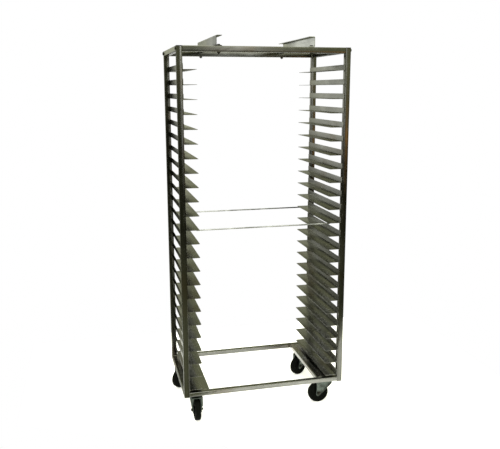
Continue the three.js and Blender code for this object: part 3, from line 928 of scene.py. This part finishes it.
def build_wheel(body, node, place, name):
    """A solid rubber tyre on a moulded centre, about the axle."""
    axle = Matrix.Translation((TRAIL, 0, AXLE_HEIGHT)) @ Matrix.Rotation(math.pi / 2, 4, "X")
    rim, half, core, bore = WHEEL_RADIUS, TYRE_HALF_WIDTH, TYRE_BORE, AXLE_RADIUS + SEAM
    tread = []
    for k in range(15):
        share = -1 + 2 * k / 14
        tread.append((rim - 1.5 * abs(share) ** 3, share * (half - 1.6)))
    tyre = [
        (core, -half + 3.0), (core + 0.6, -half + 0.6), (core + 1.8, -half),
        (rim - 3.8, -half), (rim - 2.2, -half + 0.6), *tread, (rim - 2.2, half - 0.6),
        (rim - 3.8, half), (core + 1.8, half), (core + 0.6, half - 0.6), (core, half - 3.0),
    ]
    bm = bmesh.new()
    add_lathe(bm, tyre, 96, axle, cyclic=True)
    piece(f"tyre_{name}", bm, TYRE_RUBBER, body, [node], place)

    web, hub = half - 5.0, HUB_HALF_WIDTH
    side = [
        (core - 0.05, half - 3.4), (core - 0.9, half - 2.6), (core - 2.6, half - 2.8),
        (core - 3.6, web + 0.8), (core - 5.4, web), (20.0, web), (17.4, web + 0.6),
        (15.4, web + 2.6), (14.4, hub - 1.0), (13.4, hub - 0.2), (9.6, hub), (8.8, hub - 0.8),
        (bore + 0.6, hub - 0.8), (bore, hub - 1.4),
    ]
    bm = bmesh.new()
    add_lathe(bm, [*side, *((r, -h) for r, h in reversed(side))], 72, axle, cyclic=True)
    for face in SIGNS:
        for k in range(RIBS):
            turn = Matrix.Rotation(2 * math.pi * k / RIBS, 4, "Z")
            ridge = rectangle(7.6, 1.1, 0.8, 3)
            rib = axle @ turn @ Matrix.Translation((25.6, 0, 0))
            low, high = sorted((face * (web - 0.6), face * (web + 1.3)))
            add_slab(bm, ridge, low, high, 0.5, rib)
    piece(f"wheel_centre_{name}", bm, HUB_RUBBER, body, [node], place)


def build_caster_plate(place, name):
    """The mounting plate, which stays with the rack, and the bolts that hold it."""
    bm = bmesh.new()
    outline = rectangle(PLATE_HALF_LENGTH, PLATE_HALF_WIDTH, 6.0)
    add_slab(bm, outline, PLATE_UNDERSIDE, BASE_UNDERSIDE, 0.8)
    piece(f"caster_plate_{name}", bm, ZINC, "rack", ["welded_frame"], place)
    bm = bmesh.new()
    for sx in SIGNS:
        for sy in SIGNS:
            seat = flipped((sx * PLATE_BOLT_X, sy * PLATE_BOLT_Y, PLATE_UNDERSIDE))
            add_washer(bm, WASHER_BORE, PLATE_WASHER_RIM, PLATE_WASHER, seat)
            on_washer = seat @ Matrix.Translation((0, 0, PLATE_WASHER))
            add_hex(bm, PLATE_BOLT_HEX, PLATE_BOLT_HEAD, on_washer)
    piece(f"caster_plate_bolts_{name}", bm, ZINC, "rack",
          ["welded_frame"], place)


def build_casters():
    joints = {joint["name"]: joint for joint in frame["joints"]}
    for name in (f"{END[sy]}_{SIDE[sx]}" for sy in SIGNS for sx in SIGNS):
        kingpin = Vector(joints[f"swivel_{name}"]["pos_m"])
        axle = Vector(joints[f"roll_{name}"]["pos_m"])
        away = axle - kingpin
        turned = Matrix.Rotation(math.atan2(away.y, away.x), 4, "Z")
        stand = Matrix.Translation((kingpin.x, kingpin.y, 0))
        scale = Matrix.Scale(0.001, 4)
        build_fork(f"fork_{name}", f"caster_fork_{name}", stand @ turned @ scale, name)
        build_wheel(f"wheel_{name}", f"caster_wheel_{name}", stand @ turned @ scale, name)
        build_caster_plate(stand @ scale, name)


# ---- the studio --------------------------------------------------------------------------


FLOOR_CORNERS = (
    (-1.15, -0.05), (-0.6, -0.33), (-0.25, -0.44), (-0.13, -0.72),
    (0.75, -1.1), (1.35, -0.9), (1.35, 0.95), (-1.15, 0.95),
)
FLOOR_GLOW = 0.6


def build_floor():
    """A sheet of pale paper under the rack, cut away in front of its left side."""
    bm = bmesh.new()
    bm.faces.new([bm.verts.new((x, y, 0)) for x, y in FLOOR_CORNERS])
    mesh = bpy.data.meshes.new("studio_floor")
    bm.to_mesh(mesh)
    bm.free()
    paper = Nodes("floor_paper", Metallic=0.0, Roughness=0.9)
    fibre = paper.noise(1.5, 2.0)
    colour = paper.ramp(fibre, (0.0, (0.93, 0.93, 0.93)), (1.0, (0.95, 0.95, 0.95)))
    paper.shader.inputs["Emission Color"].default_value = (1.0, 1.0, 0.98, 1.0)
    paper.shader.inputs["Emission Strength"].default_value = FLOOR_GLOW
    paper.tree.links.new(colour, paper.shader.inputs["Base Color"])
    mesh.materials.append(paper.material)
    floor = bpy.data.objects.new("studio_floor", mesh)
    bpy.context.scene.collection.objects.link(floor)


ROOM_TINT = (1.0, 1.03, 0.6, 1.0)
TIMBER_TINT = (1.0, 0.52, 0.16, 1.0)
WALL, WALL_LEFT = 0.19, 0.72
WINDOW = 2.4
BACKDROP = 0.8
SOFTBOX = 0.7
ROOM = 0.19
ROOM_MIDDLE = 0.12
ROOM_FRONT = (0.1, 0.3)
BENCH = 1.1

# Where things in the room start and end, as parts of a unit direction: across to the right,
# and height up.
WALL_FOOT = (-0.14, -0.03)
WALL_TOP = (0.32, 0.46)
WALL_CORNER = (-0.34, -0.12)
BACKDROP_ACROSS = (0.03, 0.36)
BACKDROP_HEIGHT = (-0.1, -0.015)
WINDOW_ACROSS = (0.185, 0.25)
WINDOW_HEIGHT = (-0.08, 0.3)
SOFTBOX_HEIGHT = (0.12, 0.3)
BENCH_ACROSS = (0.32, 0.5)
BENCH_HEIGHT = (-0.095, -0.035)
SKIRTING = (-0.09, 0.04)
DIM_FLOOR = (-0.42, -0.17)
RIGHT_SIDE = (0.1, 0.4)


def build_world():
    """A pale room with a dim floor, seen only in the steel.

    Behind the rack are a wall that is brightest on its left and a low pale backdrop on the
    right. In front are a softbox high up, and a window and a timber bench on the right."""
    world = bpy.data.worlds.new("studio")
    world.use_nodes = True
    tree = world.node_tree
    tree.nodes.clear()

    def add(kind, inputs, attributes=None):
        node = tree.nodes.new(kind)
        for key, value in (attributes or {}).items():
            setattr(node, key, value)
        for key, value in inputs.items():
            if isinstance(value, bpy.types.NodeSocket):
                tree.links.new(value, node.inputs[key])
            else:
                node.inputs[key].default_value = value
        return node

    def remap(value, low, high, to_low=0.0, to_high=1.0):
        return add("ShaderNodeMapRange", {
            "Value": value, "From Min": low, "From Max": high, "To Min": to_low, "To Max": to_high,
        }, {"interpolation_type": "SMOOTHSTEP"}).outputs["Result"]

    def combine(operation, first, *others):
        for other in others:
            first = add("ShaderNodeMath", {0: first, 1: other}, {"operation": operation}).outputs[0]
        return first

    def between(value, low, high, fade):
        return combine("MULTIPLY", remap(value, low - fade, low + fade),
                       remap(value, high - fade, high + fade, 1.0, 0.0))

    def light(colour, strength):
        return add("ShaderNodeBackground", {"Color": colour, "Strength": strength}).outputs[0]

    direction = add("ShaderNodeTexCoord", {}).outputs["Generated"]
    parts = add("ShaderNodeSeparateXYZ", {"Vector": direction})
    across, depth, height = (parts.outputs[name] for name in "XYZ")

    behind, in_front = remap(depth, 0.0, 0.6), remap(depth, 0.2, -0.6)
    slope = combine("MAXIMUM", combine("MULTIPLY", across, 0.8),
                    combine("MULTIPLY", across, -0.3))
    slanted = combine("ADD", height, slope)
    band = combine("MULTIPLY", remap(height, *WALL_FOOT), remap(slanted, *WALL_TOP, 1.0, 0.0))
    wall = combine("MULTIPLY", behind, band, remap(across, *WALL_CORNER, WALL_LEFT, WALL))
    backdrop = combine("MULTIPLY", between(across, *BACKDROP_ACROSS, 0.04), behind,
                       between(height, *BACKDROP_HEIGHT, 0.012), BACKDROP)
    window = combine("MULTIPLY", between(across, *WINDOW_ACROSS, 0.02),
                     remap(depth, -0.85, -0.95), between(height, *WINDOW_HEIGHT, 0.06), WINDOW)
    ceiling = combine("ADD", ROOM,
                      combine("MULTIPLY", behind, remap(across, 0.4, 0.1, 0.0, ROOM_MIDDLE)),
                      combine("MULTIPLY", in_front, remap(across, *RIGHT_SIDE, *ROOM_FRONT)))
    above = combine("MULTIPLY", ceiling, remap(height, *SKIRTING))
    overhead = combine("ADD", remap(height, 0.3, 1.0, 0.0, 0.25),
                       combine("MULTIPLY", in_front, remap(height, *SOFTBOX_HEIGHT, 0.0, SOFTBOX)))
    below = combine("MULTIPLY", remap(height, *DIM_FLOOR, 0.34, 0.05),
                    remap(across, *RIGHT_SIDE, 1.3, 0.8))
    bench = combine("MULTIPLY", between(across, *BENCH_ACROSS, 0.05),
                    in_front, between(height, *BENCH_HEIGHT, 0.015), BENCH)

    lit = light((1.0, 1.0, 1.0, 1.0), combine("ADD", wall, window, backdrop))
    for other in (light(ROOM_TINT, combine("ADD", above, overhead, below)),
                  light(TIMBER_TINT, bench)):
        lit = add("ShaderNodeAddShader", {0: lit, 1: other}).outputs[0]
    to_camera = add("ShaderNodeLightPath", {}).outputs["Is Camera Ray"]
    seen = light((1.0, 1.0, 1.0, 1.0), 1.0)
    mixed = add("ShaderNodeMixShader", {0: to_camera, 1: lit, 2: seen})
    add("ShaderNodeOutputWorld", {"Surface": mixed.outputs[0]})
    bpy.context.scene.world = world


LAMP_ENERGY = 3.6
LAMP_SPREAD = math.radians(70)
LAMP_TILT = (math.radians(14), math.radians(-10), 0)


def build_lights():
    sun = bpy.data.lights.new("overhead_softbox", "SUN")
    sun.energy = LAMP_ENERGY
    sun.angle = LAMP_SPREAD
    lamp = bpy.data.objects.new("overhead_softbox", sun)
    lamp.rotation_euler = LAMP_TILT
    bpy.context.scene.collection.objects.link(lamp)


CAMERA_FROM_MIDDLE = Vector((-0.7601, -3.0414, 1.5417))
CAMERA_YAW = math.radians(13.756)
CAMERA_PITCH = math.radians(-11.757)
CAMERA_ROLL = math.radians(-0.098)
CAMERA_LENS = 46.78
SENSOR = 36.0


def build_camera():
    data = bpy.data.cameras.new("camera")
    data.sensor_width = SENSOR
    data.lens = CAMERA_LENS
    data.clip_end = 200.0
    camera = bpy.data.objects.new("camera", data)
    level = Matrix.Rotation(-CAMERA_YAW, 4, "Z") @ Matrix.Rotation(math.pi / 2, 4, "X")
    tilted = level @ Matrix.Rotation(CAMERA_PITCH, 4, "X") @ Matrix.Rotation(CAMERA_ROLL, 4, "Z")
    camera.matrix_world = Matrix.Translation(middle + CAMERA_FROM_MIDDLE) @ tilted
    bpy.context.scene.collection.objects.link(camera)
    bpy.context.scene.camera = camera


build_uprights()
build_welded_rails()
build_base_channels()
build_frame_welds()
build_slides()
build_top_rails()
build_corner_bolts()
build_lift_channels()
build_casters()
build_floor()
build_world()
build_lights()
build_camera()
bpy.context.scene.view_settings.view_transform = "Standard"
